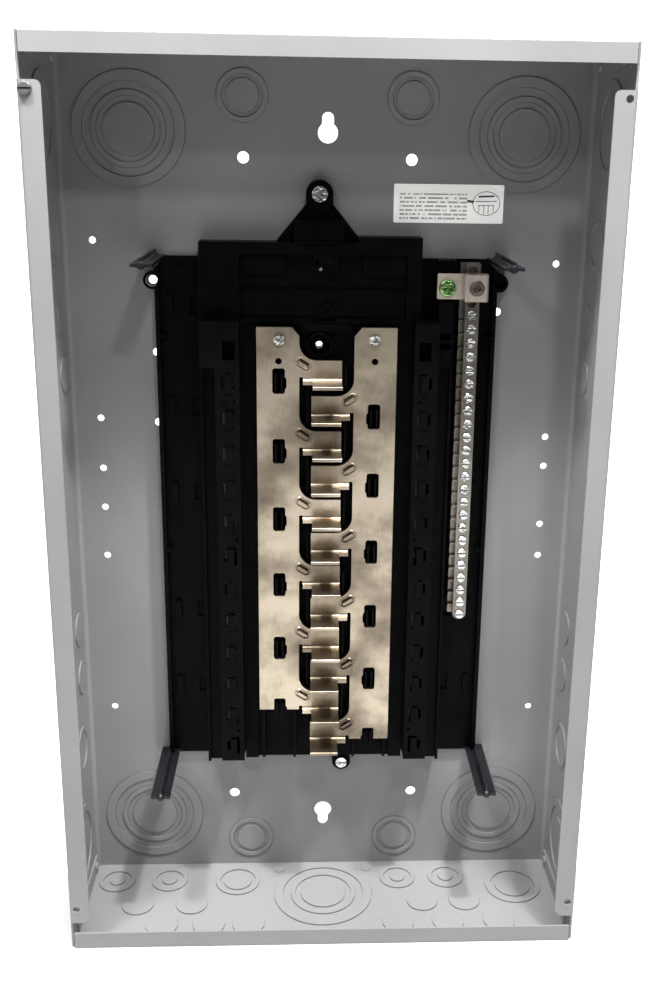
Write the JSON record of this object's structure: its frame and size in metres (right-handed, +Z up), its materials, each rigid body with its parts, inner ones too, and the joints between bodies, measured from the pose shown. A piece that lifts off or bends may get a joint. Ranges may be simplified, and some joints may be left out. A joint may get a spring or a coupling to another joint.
{
  "type": "residential load center",
  "caption": "Open electrical distribution box with knockouts, a moulded interior, interleaved bus bar stabs and a neutral terminal bar.",
  "frame": {"origin": "centre of the flat back face that lies on the wall", "axes": "+X to the right seen from the front, -Y out of the wall, +Z up along the long side"},
  "size_m": [0.3682, 0.1008, 0.6286],
  "materials": {
    "box_paint": "satin light grey paint",
    "black_moulding": "fine satin",
    "tinned_bar": "tin plated, satin, warm tone",
    "aluminium_bar": "satin",
    "zinc_screw": "bright zinc",
    "dark_screw": "dark grey",
    "green_screw": "green dyed, satin",
    "white_label": "matte"
  },
  "bodies": {
    "panel": {"enclosure_wrap": "box_paint", "top_end_wall": "box_paint", "bottom_end_wall": "box_paint", "end_wall_rivets": "box_paint", "line_section_base": "black_moulding", "upper_branch_base": "black_moulding", "lower_branch_base": "black_moulding", "cover_post_top_left": "black_moulding", "cover_post_top_right": "black_moulding", "cover_post_bottom_left": "black_moulding", "cover_post_bottom_right": "black_moulding", "neutral_standoffs": "black_moulding", "left_bus_bar": "tinned_bar", "right_bus_bar": "tinned_bar", "neutral_lug": "tinned_bar", "bonding_strap": "tinned_bar", "neutral_bar": "aluminium_bar", "bus_bar_screws": "zinc_screw", "base_mounting_screws": "zinc_screw", "trim_screw": "dark_screw", "instruction_label": "white_label"},
    "neutral_screw_01": {"neutral_screw_01": "zinc_screw"},
    "neutral_screw_02": {"neutral_screw_02": "zinc_screw"},
    "neutral_screw_03": {"neutral_screw_03": "zinc_screw"},
    "neutral_screw_04": {"neutral_screw_04": "zinc_screw"},
    "neutral_screw_05": {"neutral_screw_05": "zinc_screw"},
    "neutral_screw_06": {"neutral_screw_06": "zinc_screw"},
    "neutral_screw_07": {"neutral_screw_07": "zinc_screw"},
    "neutral_screw_08": {"neutral_screw_08": "zinc_screw"},
    "neutral_screw_09": {"neutral_screw_09": "zinc_screw"},
    "neutral_screw_10": {"neutral_screw_10": "zinc_screw"},
    "neutral_screw_11": {"neutral_screw_11": "zinc_screw"},
    "neutral_screw_12": {"neutral_screw_12": "zinc_screw"},
    "neutral_screw_13": {"neutral_screw_13": "zinc_screw"},
    "neutral_screw_14": {"neutral_screw_14": "zinc_screw"},
    "neutral_screw_15": {"neutral_screw_15": "zinc_screw"},
    "neutral_screw_16": {"neutral_screw_16": "zinc_screw"},
    "neutral_screw_17": {"neutral_screw_17": "zinc_screw"},
    "neutral_screw_18": {"neutral_screw_18": "zinc_screw"},
    "neutral_screw_19": {"neutral_screw_19": "zinc_screw"},
    "neutral_screw_20": {"neutral_screw_20": "zinc_screw"},
    "neutral_screw_21": {"neutral_screw_21": "zinc_screw"},
    "neutral_screw_22": {"neutral_screw_22": "zinc_screw"},
    "neutral_screw_23": {"neutral_screw_23": "zinc_screw"},
    "neutral_screw_24": {"neutral_screw_24": "zinc_screw"},
    "neutral_lug_screw": {"neutral_lug_screw": "zinc_screw"},
    "bonding_screw": {"bonding_screw": "green_screw"}
  },
  "joints": [
    {"name": "neutral_screw_01_slide", "type": "slide", "parent": "panel", "child": "neutral_screw_01", "axis": [0, -1, 0], "range_m": [0, 0.004]},
    {"name": "neutral_screw_02_slide", "type": "slide", "parent": "panel", "child": "neutral_screw_02", "axis": [0, -1, 0], "range_m": [0, 0.004]},
    {"name": "neutral_screw_03_slide", "type": "slide", "parent": "panel", "child": "neutral_screw_03", "axis": [0, -1, 0], "range_m": [0, 0.004]},
    {"name": "neutral_screw_04_slide", "type": "slide", "parent": "panel", "child": "neutral_screw_04", "axis": [0, -1, 0], "range_m": [0, 0.004]},
    {"name": "neutral_screw_05_slide", "type": "slide", "parent": "panel", "child": "neutral_screw_05", "axis": [0, -1, 0], "range_m": [0, 0.004]},
    {"name": "neutral_screw_06_slide", "type": "slide", "parent": "panel", "child": "neutral_screw_06", "axis": [0, -1, 0], "range_m": [0, 0.004]},
    {"name": "neutral_screw_07_slide", "type": "slide", "parent": "panel", "child": "neutral_screw_07", "axis": [0, -1, 0], "range_m": [0, 0.004]},
    {"name": "neutral_screw_08_slide", "type": "slide", "parent": "panel", "child": "neutral_screw_08", "axis": [0, -1, 0], "range_m": [0, 0.004]},
    {"name": "neutral_screw_09_slide", "type": "slide", "parent": "panel", "child": "neutral_screw_09", "axis": [0, -1, 0], "range_m": [0, 0.004]},
    {"name": "neutral_screw_10_slide", "type": "slide", "parent": "panel", "child": "neutral_screw_10", "axis": [0, -1, 0], "range_m": [0, 0.004]},
    {"name": "neutral_screw_11_slide", "type": "slide", "parent": "panel", "child": "neutral_screw_11", "axis": [0, -1, 0], "range_m": [0, 0.004]},
    {"name": "neutral_screw_12_slide", "type": "slide", "parent": "panel", "child": "neutral_screw_12", "axis": [0, -1, 0], "range_m": [0, 0.004]},
    {"name": "neutral_screw_13_slide", "type": "slide", "parent": "panel", "child": "neutral_screw_13", "axis": [0, -1, 0], "range_m": [0, 0.004]},
    {"name": "neutral_screw_14_slide", "type": "slide", "parent": "panel", "child": "neutral_screw_14", "axis": [0, -1, 0], "range_m": [0, 0.004]},
    {"name": "neutral_screw_15_slide", "type": "slide", "parent": "panel", "child": "neutral_screw_15", "axis": [0, -1, 0], "range_m": [0, 0.004]},
    {"name": "neutral_screw_16_slide", "type": "slide", "parent": "panel", "child": "neutral_screw_16", "axis": [0, -1, 0], "range_m": [0, 0.004]},
    {"name": "neutral_screw_17_slide", "type": "slide", "parent": "panel", "child": "neutral_screw_17", "axis": [0, -1, 0], "range_m": [0, 0.004]},
    {"name": "neutral_screw_18_slide", "type": "slide", "parent": "panel", "child": "neutral_screw_18", "axis": [0, -1, 0], "range_m": [0, 0.004]},
    {"name": "neutral_screw_19_slide", "type": "slide", "parent": "panel", "child": "neutral_screw_19", "axis": [0, -1, 0], "range_m": [0, 0.004]},
    {"name": "neutral_screw_20_slide", "type": "slide", "parent": "panel", "child": "neutral_screw_20", "axis": [0, -1, 0], "range_m": [0, 0.004]},
    {"name": "neutral_screw_21_slide", "type": "slide", "parent": "panel", "child": "neutral_screw_21", "axis": [0, -1, 0], "range_m": [0, 0.004]},
    {"name": "neutral_screw_22_slide", "type": "slide", "parent": "panel", "child": "neutral_screw_22", "axis": [0, -1, 0], "range_m": [0, 0.004]},
    {"name": "neutral_screw_23_slide", "type": "slide", "parent": "panel", "child": "neutral_screw_23", "axis": [0, -1, 0], "range_m": [0, 0.004]},
    {"name": "neutral_screw_24_slide", "type": "slide", "parent": "panel", "child": "neutral_screw_24", "axis": [0, -1, 0], "range_m": [0, 0.004]},
    {"name": "neutral_lug_screw_slide", "type": "slide", "parent": "panel", "child": "neutral_lug_screw", "axis": [0, -1, 0], "range_m": [0, 0.006]},
    {"name": "bonding_screw_slide", "type": "slide", "parent": "panel", "child": "bonding_screw", "axis": [0, -1, 0], "range_m": [0, 0.008]}
  ]
}
